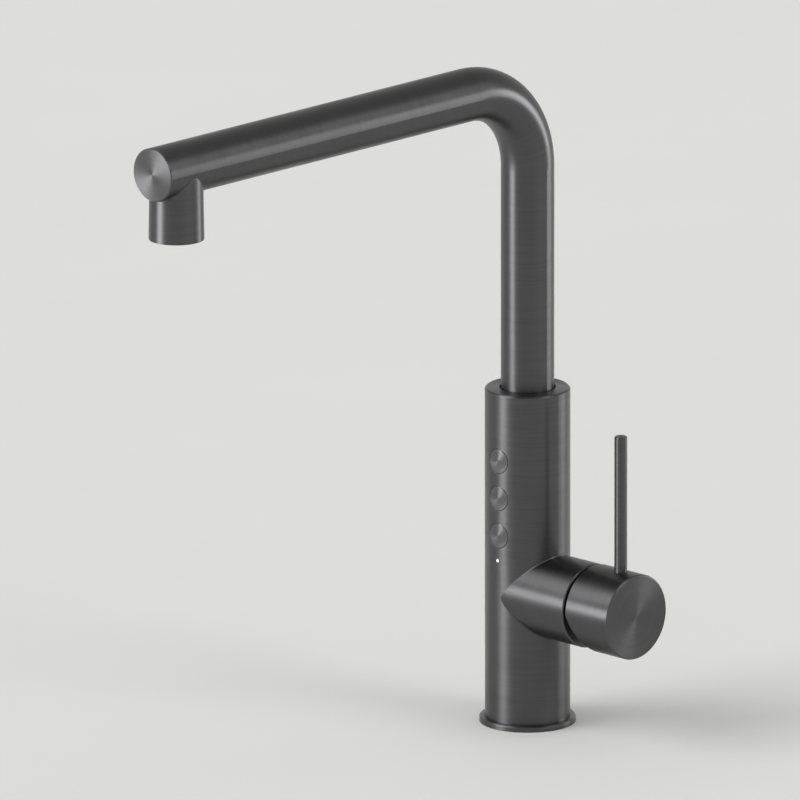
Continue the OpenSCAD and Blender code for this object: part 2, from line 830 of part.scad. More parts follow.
// Round bar along the spout's path: up the axis, round the bend and level to the given reach
module spout_path(d, z0, reach) {
    bar(d, z0, bend_z);
    translate([0, -bend_r, bend_z]) rotate([90, 0, 90])
        rotate_extrude(angle = 90) translate([bend_r, 0]) circle(d = d);
    translate([0, 0, spout_h]) rotate([90, 0, 0]) bar(d, bend_r, reach);
}

module spout_tube() {
    color(graphite) difference() {
        spout_path(tube_d, tube_z, spout_end - cap_edge);
        spout_path(2 * tube_in_r, tube_z - over, spout_end + over);
        translate([0, -spout_reach, 0]) bar(2 * outlet_bore_r, outlet_h, spout_h);
    }
}

// Cap that closes the tube's end, with a plug inside it
module spout_end_cap() {
    color(graphite) translate([0, 0, spout_h]) rotate([90, 0, 0]) {
        edged_bar(tube_d, spout_end - cap_edge, spout_end, cap_edge);
        bar(2 * (tube_in_r - fit), spout_end - cap_edge - cap_plug_l, spout_end - cap_edge);
    }
}

// Outlet: slightly conical, its upper end cut to sit on the tube's underside
module outlet_nozzle() {
    color(graphite) difference() {
        translate([0, -spout_reach, outlet_h])
            cylinder(d1 = outlet_d, d2 = outlet_top_d, h = spout_h - outlet_h);
        translate([0, 0, spout_h]) rotate([90, 0, 0]) bar(tube_d, 0, spout_end + tube_d);
        translate([0, -spout_reach, 0]) {
            bar(aerator_d + 2 * fit, outlet_h - over, outlet_shelf);
            bar(2 * outlet_bore_r, outlet_h, spout_h + over);
        }
    }
}

// Foot of the spout: turns in the socket on two glide rings and two seals
module spout_foot() {
    color(brass) difference() {
        union() {
            bar(foot_d, foot_z, tube_z);
            bar(2 * (tube_in_r - fit), tube_z, foot_top);
        }
        bar(filter_pipe_d + 2 * run, foot_z - over, pipe_top + foot_rib);
        translate([0, 0, pipe_seal_z]) {
            groove_half = pipe_seal_wire / 2 + room;
            bar(2 * pipe_seal_r + 2 * groove_half, -groove_half, groove_half);
        }
        bar(filter_pipe_d - 2 * pipe_wall, foot_z, foot_top);
        bar(filter_pipe_d + 2 * fit, inner_tube_z, foot_top + over);
        for (a = [45:90:315]) rotate([0, 0, a]) translate([foot_passage_r, 0, 0])
            bar(foot_passage_d, foot_z - over, foot_top + over);
        for (z = seal_zs) translate([0, 0, z])
            pipe(foot_d + over, 2 * seal_groove_r, -seal_wire / 2 - room, seal_wire / 2 + room);
        for (z = glide_zs) pipe(foot_d + over, foot_d - 2 * glide_groove, z - room, z + glide_h + room);
        rotate([0, 0, 90 - stop_arc]) translate([0, 0, stop_groove_z])
            rotate_extrude(angle = 2 * stop_arc) translate([stop_groove_r, 0])
                square([stop_depth + over, stop_groove_h]);
    }
}

// Two seals against the socket, and a small one against the filtered water pipe
module foot_seals() {
    color(rubber) {
        for (z = seal_zs) wire_ring(seal_r, seal_wire, z);
        wire_ring(pipe_seal_r, pipe_seal_wire, pipe_seal_z);
    }
}

module foot_glide_rings() {
    color(plastic) for (z = glide_zs)
        pipe(socket_d - 2 * run, foot_d - 2 * (glide_groove - fit), z, z + glide_h);
}

// Flexible tube for filtered water, inside the spout from its foot to the outlet
module inner_tube_path(d, extra) {
    spout_path(d, inner_tube_z - extra, spout_reach - drop_r);
    translate([0, -spout_reach + drop_r, spout_h - drop_r]) rotate([90, 0, 90])
        rotate([0, 0, 90]) rotate_extrude(angle = 90) translate([drop_r, 0]) circle(d = d);
    translate([0, -spout_reach, 0]) bar(d, inner_tube_end - extra, spout_h - drop_r);
}

module spout_inner_tube() {
    color(plastic) difference() {
        inner_tube_path(filter_pipe_d, 0);
        inner_tube_path(filter_pipe_d - 2 * pipe_wall, over);
    }
}

// Outlet fittings

module aerator_housing() {
    color(steel) translate([0, -spout_reach, 0]) difference() {
        bar(aerator_d, aerator_z, aerator_z + aerator_l);
        bar(aerator_d - 2 * aerator_wall, insert_z, aerator_z + aerator_l + over);
        bar(aerator_d - 2 * (aerator_wall + aerator_lip_w), aerator_z - over, insert_z + over);
        for (a = [0:60:300]) rotate([0, 0, a])
            translate([(aerator_d - aerator_slot) / 2, -aerator_slot / 2, aerator_z - over])
                cube([aerator_slot, aerator_slot, over + aerator_slot_depth]);
    }
}

// Insert with two rows of spray holes round the filtered water nozzle
module aerator_insert() {
    color(plastic) translate([0, -spout_reach, 0]) difference() {
        bar(2 * insert_r, insert_z, insert_top);
        bar(filter_pipe_d + 2 * fit, insert_z - over, insert_top + over);
        for (row = [0, 1], i = [0:spray_count + 4 * row - 1])
            rotate([0, 0, 360 * i / (spray_count + 4 * row)])
                translate([spray_row_r + spray_row_gap * row, 0, 0])
                    bar(spray_d, insert_z - over, insert_top + over);
    }
}

module aerator_seal() {
    seal_d = aerator_d - 2 * room;
    color(rubber) translate([0, -spout_reach, aerator_z + aerator_l])
        pipe(seal_d, seal_d - 2 * aerator_seal_w, 0, aerator_seal_t);
}

// Centre nozzle for filtered water, pushed over the inner tube's end
module filtered_water_nozzle() {
    bore = filter_pipe_d - 2 * pipe_wall;
    color(plastic) translate([0, -spout_reach, 0]) difference() {
        union() {
            bar(filter_pipe_d, tip_z, insert_top);
            bar(filter_pipe_d + 2 * tip_collar_wall, insert_top, inner_tube_end + tip_grip);
        }
        bar(bore, tip_z - over, inner_tube_end + over);
        bar(filter_pipe_d + 2 * fit, inner_tube_end, inner_tube_end + tip_grip + over);
    }
}

// Mixer cartridge

// Places of the cartridge's three ports in the mixer's own x and y
function ports() = [[port_drop, port_side], [port_drop, -port_side], [-port_rise, 0]];

module cartridge_base() {
    color(plastic) on_mixer() difference() {
        union() {
            bar(cart_d, seat, seat + base_flange_t);
            bar(2 * (cart_in_r - fit), seat + base_flange_t, disc_seat);
        }
        for (p = ports()) translate([p[0], p[1], 0]) {
            bar(port_d, seat - over, disc_seat + over);
            bar(port_d + 2 * port_seal_w, seat - over, seat + port_seal_depth);
        }
    }
}

module cartridge_seals() {
    color(rubber) on_mixer() for (p = ports()) translate([p[0], p[1], 0])
        pipe(port_d + 2 * (port_seal_w - fit), port_d + 2 * room, seat, seat + port_seal_depth - fit);
}

module cartridge_housing() {
    color(plastic) on_mixer() difference() {
        union() {
            bar(cart_d, seat + base_flange_t, shoulder);
            bar(neck_d, shoulder, neck_end);
        }
        bar(2 * cart_in_r, seat - over, rotor_top);
        bar(2 * neck_in_r, rotor_top - over, neck_end + over);
    }
}

module fixed_disc() {
    color(ceramic) on_mixer() difference() {
        bar(2 * (cart_in_r - 2 * room), disc_seat, disc_seat + disc_t);
        for (p = ports()) translate([p[0], p[1], 0])
            bar(port_d - 4 * room, disc_seat - over, disc_seat + disc_t + over);
    }
}

// Nut that presses the cartridge onto its seat, with four slots for a face spanner
module cartridge_nut() {
    color(brass) on_mixer() difference() {
        bar(nut_bore - 2 * room, nut_start, nut_end);
        bar(cart_d + 2 * room, 0, shoulder);
        bar(neck_d + 2 * room, 0, nut_end + over);
        for (a = [45:90:315]) rotate([0, 0, a])
            translate([nut_slot_r, -nut_slot_w / 2, nut_end - nut_slot_depth])
                cube([nut_bore / 2, nut_slot_w, nut_slot_depth + over]);
    }
}

// Domed ring that covers the nut, round about the lever's pivot
module trim_dome() {
    color(graphite) on_mixer() difference() {
        union() {
            intersection() {
                translate([0, 0, pivot]) sphere(r = dome_r);
                bar(3 * dome_r, boss_reach, dome_end);
            }
            bar(nut_bore - 2 * room, boss_reach - dome_skirt, boss_reach);
        }
        translate([0, 0, pivot]) sphere(r = dome_in_r);
        bar(nut_bore - 2 * (room + dome_wall), boss_reach - dome_skirt - over, boss_reach);
    }
}

// Outline of the slot that the stem swings in, as [height, distance along the axis from the pivot]
function swing_slot(low, high) =
    let (half = stem_w / 2 + run + room, wide = half / cos(tilt))
    let (lean = tan(tilt), kink = half * tan(tilt / 2)) [
        [-half, low],
        [-half, -kink],
        [-wide - lean * high, high],
        [half, high],
        [half, kink],
        [wide - lean * low, low]
    ];

// Rotor: turns in the neck, carries the stem on a pin and guides the disc carrier's tongue
module cartridge_rotor() {
    slot_low = tongue_top + tongue_room;
    color(plastic) on_mixer() difference() {
        union() {
            bar(2 * (cart_in_r - room), rotor_foot, rotor_top - room);
            bar(2 * (neck_in_r - run), rotor_foot, neck_end - neck_set);
        }
        translate([0, stem_w / 2 + room, pivot]) rotate([90, 0, 0]) linear_extrude(stem_w + 2 * room)
            polygon([for (p = swing_slot(slot_low - over - pivot, neck_end - pivot)) [-p[0], p[1]]]);
        translate([-tongue_l / 2 - disc_travel - tongue_room, -tongue_w / 2 - room, rotor_foot - over])
            cube([
                tongue_l + disc_travel + 2 * tongue_room,
                tongue_w + 2 * room,
                slot_low - rotor_foot + over
            ]);
        translate([0, 0, pivot]) rotate([90, 0, 0]) bar(pin_d, -neck_in_r - over, neck_in_r + over);
    }
}

module stem_pin() {
    color(steel) on_mixer() translate([0, 0, pivot]) rotate([90, 0, 0])
        bar(pin_d - 0.02, -neck_in_r + 4 * room, neck_in_r - 4 * room);
}

// Closed position of the moving disc: half its travel below the mixer's axis
module at_closed() {
    on_mixer() translate([disc_travel / 2, 0, 0]) children();
}

// Carrier: holds the moving disc, and its tongue has the socket for the stem's ball
module disc_carrier() {
    color(plastic) difference() {
        union() {
            at_closed() bar(2 * carrier_r, disc_top - carrier_lip, carrier_top);
            on_mixer() translate([-tongue_l / 2, -tongue_w / 2, disc_top])
                cube([tongue_l, tongue_w, tongue_top - disc_top]);
        }
        at_closed() bar(2 * (disc_r + fit), disc_seat, disc_top);
        on_mixer() bar(ball_d + 2 * room, ball_at - ball_d / 2 - 4 * room, tongue_top + over);
    }
}

// Moving disc: its hollow joins the inlets to the outlet when it slides up
module moving_disc() {
    color(ceramic) at_closed() difference() {
        bar(2 * disc_r, disc_seat + disc_t + disc_film, disc_top);
        translate([-disc_travel / 2 - hollow_shift, 0, 0]) bar(hollow_d, disc_seat, disc_top - carrier_lip);
    }
}

// Stem: square bar with a turned arm and a ball at its inner end
module lever_stem() {
    color(steel) on_mixer() difference() {
        union() {
            translate([-stem_w / 2, -stem_w / 2, arm_top]) cube([stem_w, stem_w, stem_end - arm_top]);
            bar(arm_d, ball_at, arm_top);
            translate([0, 0, ball_at]) sphere(d = ball_d);
        }
        translate([0, 0, pivot]) rotate([90, 0, 0]) bar(pin_d + 2 * run, -stem_w, stem_w);
    }
}

// Handle hub: hollow at the rear round the trim dome, its lower rear slanted so that it can tilt
module handle_hub() {
    slant = tan(relief);
    color(graphite) difference() {
        on_mixer() edged_bar(hub_d, hub_rear, hub_face, hub_edge);
        on_mixer() bar(2 * hub_hollow_r, hub_rear - over, hub_floor);
        on_mixer() translate([-stem_w / 2 - fit, -stem_w / 2 - fit, hub_floor - over])
            cube([stem_w + 2 * fit, stem_w + 2 * fit, stem_grip + over + 2 * room]);
        translate([hub_rear, hub_d / 2 + over, boss_h]) rotate([90, 0, 0]) linear_extrude(hub_d + 2 * over)
            polygon([[-over, 0], [0, 0], [slant * hub_d, -hub_d], [-over, -hub_d]]);
        translate([rod_x, 0, boss_h]) {
            bar(rod_d + 2 * fit, rod_foot, hub_d);
            bar(rod_stud_d + 2 * fit, rod_foot - rod_stud_l - plug_set, hub_d);
            bar(grub_d + 2 * fit, -hub_d, -stem_w / 2);
        }
    }
}

module lever_rod() {
    color(graphite) translate([rod_x, 0, boss_h]) {
        edged_bar(rod_d, rod_foot, rod_top, rod_edge);
        bar(rod_stud_d, rod_foot - rod_stud_l, rod_foot);
    }
}

module handle_grub_screw() {
    tail = -stem_w / 2 - grub_l;
    color(steel) translate([rod_x, 0, boss_h]) difference() {
        bar(grub_d, tail, -stem_w / 2);
        translate([0, 0, tail - over]) cylinder(d = grub_hex, h = grub_hex_depth + over, $fn = 6);
    }
}

module grub_screw_plug() {
    color(rubber) translate([rod_x, 0, boss_h])
        bar(grub_d, plug_set - hub_d / 2, plug_set + plug_t - hub_d / 2);
}

base_gasket();
base_ring();
plate_snap_ring();
inlet_plate();
plate_screws();
plate_seals();
cable_grommet();
valve_block();
body_shell();
mixed_water_pipe();
filtered_water_pipe();
spout_stop_screw();
switch_carrier();
switch_board();
board_screws();
tact_switches();
board_connector();
status_light();
light_guide();
spring_top();
spring_middle();
spring_bottom();
button_top();
button_middle();
button_bottom();
spout_tube();
spout_end_cap();
outlet_nozzle();
spout_foot();
foot_seals();
foot_glide_rings();
spout_inner_tube();
aerator_housing();
aerator_insert();
aerator_seal();
filtered_water_nozzle();
cartridge_base();
cartridge_seals();
cartridge_housing();
fixed_disc();
cartridge_nut();
trim_dome();
cartridge_rotor();
stem_pin();
disc_carrier();
moving_disc();
lever_stem();
handle_hub();
lever_rod();
handle_grub_screw();
grub_screw_plug();
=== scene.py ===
import math

import bpy
import numpy as np
from mathutils import Euler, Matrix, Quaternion, Vector


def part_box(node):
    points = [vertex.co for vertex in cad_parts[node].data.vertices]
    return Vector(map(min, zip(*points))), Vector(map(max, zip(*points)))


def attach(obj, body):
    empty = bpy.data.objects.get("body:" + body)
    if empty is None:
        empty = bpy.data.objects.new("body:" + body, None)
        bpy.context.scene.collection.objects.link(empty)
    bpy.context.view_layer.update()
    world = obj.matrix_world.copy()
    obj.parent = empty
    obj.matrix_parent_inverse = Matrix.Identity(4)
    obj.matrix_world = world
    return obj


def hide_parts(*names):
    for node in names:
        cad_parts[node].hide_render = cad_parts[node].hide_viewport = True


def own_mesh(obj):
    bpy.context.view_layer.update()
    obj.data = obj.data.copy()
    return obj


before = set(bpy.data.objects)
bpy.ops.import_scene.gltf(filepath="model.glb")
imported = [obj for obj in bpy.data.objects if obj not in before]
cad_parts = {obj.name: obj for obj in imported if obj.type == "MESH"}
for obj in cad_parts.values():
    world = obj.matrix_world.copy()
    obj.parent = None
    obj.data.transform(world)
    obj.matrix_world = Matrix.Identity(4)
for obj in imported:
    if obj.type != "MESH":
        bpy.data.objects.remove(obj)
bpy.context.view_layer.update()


# Studio: a camera with a very long lens, because the reference is a parallel projection. It looks
# from 44.5 degrees to the right of the front and 15 degrees above, fitted to the drawing's lines.
def in_scene(name, data):
    """A new object that shows the data, linked into the scene at the origin."""
    made = bpy.data.objects.new(name, data)
    bpy.context.scene.collection.objects.link(made)
    return made


def look_from(seen, back, roll=0.0):
    """Turns a camera or lamp until the direction back lies behind it, and rolls it by degrees."""
    seen.rotation_mode = "QUATERNION"
    level = Vector(back).normalized().to_track_quat("Z", "Y")
    seen.rotation_quaternion = level @ Quaternion((0, 0, 1), math.radians(roll))


camera = in_scene("studio_camera", bpy.data.cameras.new("studio_camera"))
camera.data.lens = 1300
camera.data.sensor_width = 36
camera.data.clip_start, camera.data.clip_end = 1, 60
camera.location = (9.070504, -9.305313, 3.658723)
look_from(camera, (0.677098, -0.688301, 0.260347), roll=-0.068)
bpy.context.scene.camera = camera
bpy.context.scene.view_settings.view_transform = "Standard"


# Floor: matt pale grey paper, with a faint mottle about 110 mm across, so that it isn't dead flat.
# Its own colour is the background, and the tap's shadow falls on it.
def linear(shade):
    """sRGB hex to linear RGBA: c / 12.92 up to 0.04045, ((c + 0.055) / 1.055) ** 2.4 above it."""
    srgb = np.array([int(shade[i:i + 2], 16) for i in (0, 2, 4)]) / 255
    rgb = np.where(srgb <= 0.04045, srgb / 12.92, ((srgb + 0.055) / 1.055) ** 2.4)
    return (*rgb.tolist(), 1.0)


def add(tree, kind, settings=None, links=None):
    """Adds a node. The settings fill its properties or its inputs, and the links feed an input
    from another node's output, given as (node, output)."""
    made = tree.nodes.new(kind)
    for key, value in (settings or {}).items():
        if isinstance(key, str) and hasattr(made, key):
            setattr(made, key, value)
        else:
            made.inputs[key].default_value = value
    for key, (source, output) in (links or {}).items():
        tree.links.new(source.outputs[output], made.inputs[key])
    return made


def material(name):
    """A new material and its node tree, emptied."""
    made = bpy.data.materials.new(name)
    made.use_nodes = True
    made.node_tree.nodes.clear()
    return made, made.node_tree


paper, tree = material("matt_pale_paper")
own = add(tree, "ShaderNodeTexCoord")
mottle = add(
    tree, "ShaderNodeTexNoise", {"Scale": 9.0, "Detail": 4.0}, {"Vector": (own, "Object")},
)
shade = add(
    tree, "ShaderNodeMix", {"data_type": "RGBA", 6: linear("e7e7e5"), 7: linear("ececeb")},
    {0: (mottle, "Fac")},
)
sheet = add(
    tree, "ShaderNodeBsdfPrincipled", {"Roughness": 0.9, "Specular IOR Level": 0.15},
    {"Base Color": (shade, 2)},
)
add(tree, "ShaderNodeOutputMaterial", links={"Surface": (sheet, "BSDF")})
reach = 14
floor_mesh = bpy.data.meshes.new("floor")
floor_mesh.from_pydata(
    [(-reach, -reach, 0), (reach, -reach, 0), (reach, reach, 0), (-reach, reach, 0)],
    [], [(0, 1, 2, 3)],
)
floor_mesh.materials.append(paper)
in_scene("floor", floor_mesh)

# Light: an even pale room, a broad soft sun from the upper left, a weaker one from the right, and
# two softboxes for the highlights. The level is plain, so a colour renders about as it is written.
world = bpy.data.worlds.new("pale_room")
bpy.context.scene.world = world
world.use_nodes = True
tree = world.node_tree
tree.nodes.clear()
ray = add(tree, "ShaderNodeLightPath")
seen = add(
    tree, "ShaderNodeMath", {"operation": "MAXIMUM"},
    {0: (ray, "Is Camera Ray"), 1: (ray, "Is Transmission Ray")},
)
mirrored = add(
    tree, "ShaderNodeMath", {"operation": "MAXIMUM"},
    {0: (seen, "Value"), 1: (ray, "Is Glossy Ray")},
)
heading = add(tree, "ShaderNodeTexCoord")
parts = add(tree, "ShaderNodeSeparateXYZ", links={"Vector": (heading, "Generated")})
overhead = add(
    tree, "ShaderNodeMapRange", {"From Min": 0.0, "From Max": 0.8}, {"Value": (parts, "Z")},
)
backdrop = add(
    tree, "ShaderNodeMix", {"data_type": "RGBA", 6: linear("e6e6e5"), 7: linear("9b9b9b")},
    {0: (overhead, "Result")},
)
room = add(tree, "ShaderNodeBackground", {"Color": linear("f4f4f4"), "Strength": 0.56})
shown = add(tree, "ShaderNodeBackground", {"Strength": 1.0}, {"Color": (backdrop, 2)})
either = add(
    tree, "ShaderNodeMixShader",
    links={0: (mirrored, "Value"), 1: (room, "Background"), 2: (shown, "Background")},
)
add(tree, "ShaderNodeOutputWorld", links={"Surface": (either, "Shader")})


def soft_sun(name, towards, strength, spread):
    """A lamp at no distance, seen from the object in one direction, and spread degrees wide."""
    lamp = bpy.data.lights.new(name, "SUN")
    lamp.energy, lamp.angle = strength, math.radians(spread)
    look_from(in_scene(name, lamp), towards)


soft_sun("key_sun", (-0.55, -1.0, 1.05), strength=1.25, spread=40)
soft_sun("side_sun", (1.0, 0.25, 0.75), strength=0.6, spread=28)


def softbox(name, place, width, height, watts):
    """An upright lamp that faces the object's axis. Only glossy surfaces see it, so it draws
    highlights and leaves the floor even."""
    lamp = bpy.data.lights.new(name, "AREA")
    lamp.shape = "RECTANGLE"
    lamp.size, lamp.size_y, lamp.energy = width, height, watts
    box = in_scene(name, lamp)
    box.visible_diffuse = False
    box.location = place
    look_from(box, (place[0], place[1], 0))


softbox("left_softbox", (-0.70, -1.60, 0.27), width=0.60, height=0.54, watts=14)
softbox("right_softbox", (0.80, 1.45, 0.27), width=0.50, height=0.54, watts=8)


# Base ring: turned steel ring that hides the tap hole's edge, with a chamfered rim. It is finished
# as the body is: dark graphite coating over fine brushing, which stretches each highlight upwards.
def placed(tree, centre=(0, 0, 0), turn=(0, 0, 0)):
    """Object coordinates in mm, a centre moved to the origin and then turned: R (1000 p - c)."""
    read = add(tree, "ShaderNodeTexCoord")
    back = Euler(turn).to_matrix() @ Vector(centre)
    return add(
        tree, "ShaderNodeMapping",
        {"Location": -back, "Rotation": turn, "Scale": (1000, 1000, 1000)},
        {"Vector": (read, "Object")},
    )


def lathe_marks(tree, centre=(0, 0, 0), turn=(0, 0, 0)):
    """Marks of a cutter round a local z axis: z - sqrt(x² + y²), in mm, runs across them. Gives
    that coordinate and the offset (x, y, 0) from the axis."""
    local = placed(tree, centre, turn)
    flat = add(
        tree, "ShaderNodeVectorMath", {"operation": "MULTIPLY", 1: (1, 1, 0)},
        {0: (local, "Vector")},
    )
    radius = add(tree, "ShaderNodeVectorMath", {"operation": "LENGTH"}, {0: (flat, "Vector")})
    parts = add(tree, "ShaderNodeSeparateXYZ", links={"Vector": (local, "Vector")})
    across = add(
        tree, "ShaderNodeMath", {"operation": "SUBTRACT"}, {0: (parts, "Z"), 1: (radius, "Value")},
    )
    marks = add(
        tree, "ShaderNodeCombineXYZ",
        links={"X": (across, "Value"), "Y": (parts, "X"), "Z": (parts, "Y")},
    )
    return (marks, "Vector"), (flat, "Vector")


def lathe_lines(tree, centre=(0, 0, 0), turn=(0, 0, 0)):
    """Lathe marks and, for the stretched highlight, the grain's direction: the z axis less the unit
    radius, turned back to the object's own axes."""
    marks, offset = lathe_marks(tree, centre, turn)
    outward = add(tree, "ShaderNodeVectorMath", {"operation": "NORMALIZE"}, {0: offset})
    grain = add(
        tree, "ShaderNodeVectorMath", {"operation": "SUBTRACT", 0: (0, 0, 1)},
        {1: (outward, "Vector")},
    )
    unturned = add(
        tree, "ShaderNodeMapping",
        {"vector_type": "VECTOR", "Rotation": Euler(turn).to_matrix().inverted().to_euler()},
        {"Vector": (grain, "Vector")},
    )
    return marks, (unturned, "Vector")


def brushed(
    name, lines, dark, light, rough=(0.30, 0.41), line_mm=0.35, length_mm=26, depth_mm=0.003,
    stretch=0.7, corner_mm=0.35, edge_highlight_and_wear_colour="8d9093",
):
    """Brushed metal under a thin coating. Real brushing is about 0.05 mm apart, and it is drawn at
    line_mm so that it shows, with scratches length_mm long. lines gives the coordinate across the
    scratches and their direction. The corners are painted paler: partly wear through the coating
    to the metal, partly a painted highlight along the edges."""
    made, tree = material(name)
    marks, grain = lines(tree)
    fine = add(
        tree, "ShaderNodeMapping", {"Scale": (1 / line_mm, 1 / length_mm, 1 / length_mm)},
        {"Vector": marks},
    )
    scratches = add(
        tree, "ShaderNodeTexNoise", {"Scale": 1.0, "Detail": 3.0, "Roughness": 0.65},
        {"Vector": (fine, "Vector")},
    )
    # Bands: broader streaks under the scratches, each about nine scratches wide
    broad = add(
        tree, "ShaderNodeMapping", {"Scale": (1 / (9 * line_mm), 1 / length_mm, 1 / length_mm)},
        {"Vector": marks},
    )
    bands = add(
        tree, "ShaderNodeTexNoise", {"Scale": 1.0, "Detail": 2.0}, {"Vector": (broad, "Vector")},
    )
    tone = add(
        tree, "ShaderNodeMix", {"data_type": "FLOAT", "Factor": 0.25},
        {2: (scratches, "Fac"), 3: (bands, "Fac")},
    )
    # Handling: very faint cloudy patches, about 29 mm across, where the coating has been touched
    own = placed(tree)
    touch = add(
        tree, "ShaderNodeTexNoise", {"Scale": 0.035, "Detail": 3.0, "Distortion": 0.4},
        {"Vector": (own, "Vector")},
    )
    # Edges: a face turns away from the rounded normal only on a corner's last third of a millimetre
    rounded = add(tree, "ShaderNodeBevel", {"samples": 4, "Radius": corner_mm / 1000})
    true_face = add(tree, "ShaderNodeNewGeometry")
    alike = add(
        tree, "ShaderNodeVectorMath", {"operation": "DOT_PRODUCT"},
        {0: (rounded, "Normal"), 1: (true_face, "Normal")},
    )
    # Painted highlight and wear: pales the corners to the uncoated metal colour along every edge
    corner = add(
        tree, "ShaderNodeMapRange",
        {"From Min": 1.0, "From Max": 0.86, "To Min": 0.0, "To Max": 0.5},
        {"Value": (alike, "Value")},
    )
    coat = add(
        tree, "ShaderNodeMix", {"data_type": "RGBA", 6: linear(dark), 7: linear(light)},
        {0: (tone, 0)},
    )
    # Painted highlight mixed with real wear on the corners
    wear_and_edge_highlight = add(
        tree, "ShaderNodeMix", {"data_type": "RGBA", 7: linear(edge_highlight_and_wear_colour)},
        {0: (corner, "Result"), 6: (coat, 2)},
    )
    dull = add(
        tree, "ShaderNodeMapRange",
        {"From Min": 0.3, "From Max": 0.7, "To Min": rough[0], "To Max": rough[1]},
        {"Value": (tone, 0)},
    )
    smear = add(
        tree, "ShaderNodeMapRange",
        {"From Min": 0.35, "From Max": 0.7, "To Min": -0.025, "To Max": 0.045},
        {"Value": (touch, "Fac")},
    )
    gloss = add(
        tree, "ShaderNodeMath", {"operation": "ADD"}, {0: (dull, "Result"), 1: (smear, "Result")},
    )
    relief = add(
        tree, "ShaderNodeBump", {"Strength": 0.35, "Distance": depth_mm / 1000},
        {"Height": (scratches, "Fac"), "Normal": (rounded, "Normal")},
    )
    outdoors = add(
        tree, "ShaderNodeVectorTransform",
        {"vector_type": "VECTOR", "convert_from": "OBJECT", "convert_to": "WORLD"},
        {"Vector": grain},
    )
    metal = add(
        tree, "ShaderNodeBsdfPrincipled", {"Metallic": 1.0, "Anisotropic": stretch},
        {
            "Base Color": (wear_and_edge_highlight, 2), "Roughness": (gloss, "Value"), "Normal": (relief, "Normal"),
            "Tangent": (outdoors, "Vector"),
        },
    )
    add(tree, "ShaderNodeOutputMaterial", links={"Surface": (metal, "BSDF")})
    return made


def dress(finish, *names):
    """Gives CAD nodes a finish; their shapes stay as built."""
    for name in names:
        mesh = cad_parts[name].data
        mesh.materials.clear()
        mesh.materials.append(finish)


GRAPHITE = ("4b4b4c", "626263")
dress(brushed("graphite_steel_turned_upright", lathe_lines, *GRAPHITE), "base_ring")


# Deck gasket: black EPDM ring pressed into the ring's groove. It is moulded, matt and faintly
# grained, and seals the tap hole against splashes.
def rubber(name, shade="1b1b1c", grain_mm=0.25, bloomed="313133"):
    """Moulded rubber: matt, with a fine grain and a slightly paler bloom every 5 mm or so."""
    made, tree = material(name)
    own = placed(tree)
    grain = add(
        tree, "ShaderNodeTexNoise", {"Scale": 1 / grain_mm, "Detail": 3.0},
        {"Vector": (own, "Vector")},
    )
    bloom = add(
        tree, "ShaderNodeTexNoise", {"Scale": 0.22, "Detail": 3.0}, {"Vector": (own, "Vector")},
    )
    tint = add(
        tree, "ShaderNodeMix", {"data_type": "RGBA", 6: linear(shade), 7: linear(bloomed)},
        {0: (bloom, "Fac")},
    )
    matt = add(
        tree, "ShaderNodeMapRange",
        {"From Min": 0.3, "From Max": 0.7, "To Min": 0.62, "To Max": 0.82},
        {"Value": (grain, "Fac")},
    )
    relief = add(
        tree, "ShaderNodeBump", {"Strength": 0.3, "Distance": 0.00003}, {"Height": (grain, "Fac")},
    )
    soft = add(
        tree, "ShaderNodeBsdfPrincipled", {"IOR": 1.52},
        {"Base Color": (tint, 2), "Roughness": (matt, "Result"), "Normal": (relief, "Normal")},
    )
    add(tree, "ShaderNodeOutputMaterial", links={"Surface": (soft, "BSDF")})
    return made


dress(rubber("black_epdm_rubber"), "base_gasket")


# Inlet plate: machined brass disc under the valve block. Three M10 x 1 hose threads and the stud's
# M8 thread are cut in its holes; each thread is a helical ridge on the wall of its drilled hole.
def machined(
    name, dark, light, rough=(0.22, 0.36), line_mm=0.4, centre=(0, 0, 0), turn=(0, 0, 0),
    length_mm=20,
):
    """Turned or milled metal without a coating. Fine tool marks run round the axis and make the
    shine uneven, and a slight stain, in patches of about 11 mm, clouds the colour."""
    made, tree = material(name)
    marks, _ = lathe_marks(tree, centre, turn)
    fine = add(
        tree, "ShaderNodeMapping", {"Scale": (1 / line_mm, 1 / length_mm, 1 / length_mm)},
        {"Vector": marks},
    )
    cuts = add(
        tree, "ShaderNodeTexNoise", {"Scale": 1.0, "Detail": 2.0}, {"Vector": (fine, "Vector")},
    )
    own = placed(tree)
    stain = add(
        tree, "ShaderNodeTexNoise", {"Scale": 0.09, "Detail": 4.0}, {"Vector": (own, "Vector")},
    )
    tint = add(
        tree, "ShaderNodeMix", {"data_type": "RGBA", 6: linear(dark), 7: linear(light)},
        {0: (stain, "Fac")},
    )
    dull = add(
        tree, "ShaderNodeMapRange",
        {"From Min": 0.3, "From Max": 0.7, "To Min": rough[0], "To Max": rough[1]},
        {"Value": (cuts, "Fac")},
    )
    relief = add(
        tree, "ShaderNodeBump", {"Strength": 0.4, "Distance": 0.00001}, {"Height": (cuts, "Fac")},
    )
    metal = add(
        tree, "ShaderNodeBsdfPrincipled", {"Metallic": 1.0},
        {"Base Color": (tint, 2), "Roughness": (dull, "Result"), "Normal": (relief, "Normal")},
    )
    add(tree, "ShaderNodeOutputMaterial", links={"Surface": (metal, "BSDF")})
    return made


BRASS = ("b58d4c", "dcb976")
brass_plate = machined("machined_brass_plate", *BRASS)
dress(brass_plate, "inlet_plate")


def quads(rows, columns):
    """Quads over a grid closed both ways: corners (i, j), (i, j+1), (i+1, j+1), (i+1, j)."""
    i, j = np.meshgrid(np.arange(rows), np.arange(columns), indexing="ij")
    down, right = (i + 1) % rows, (j + 1) % columns
    corners = [i * columns + j, i * columns + right, down * columns + right, down * columns + j]
    return np.stack(corners, -1).reshape(-1, 4)


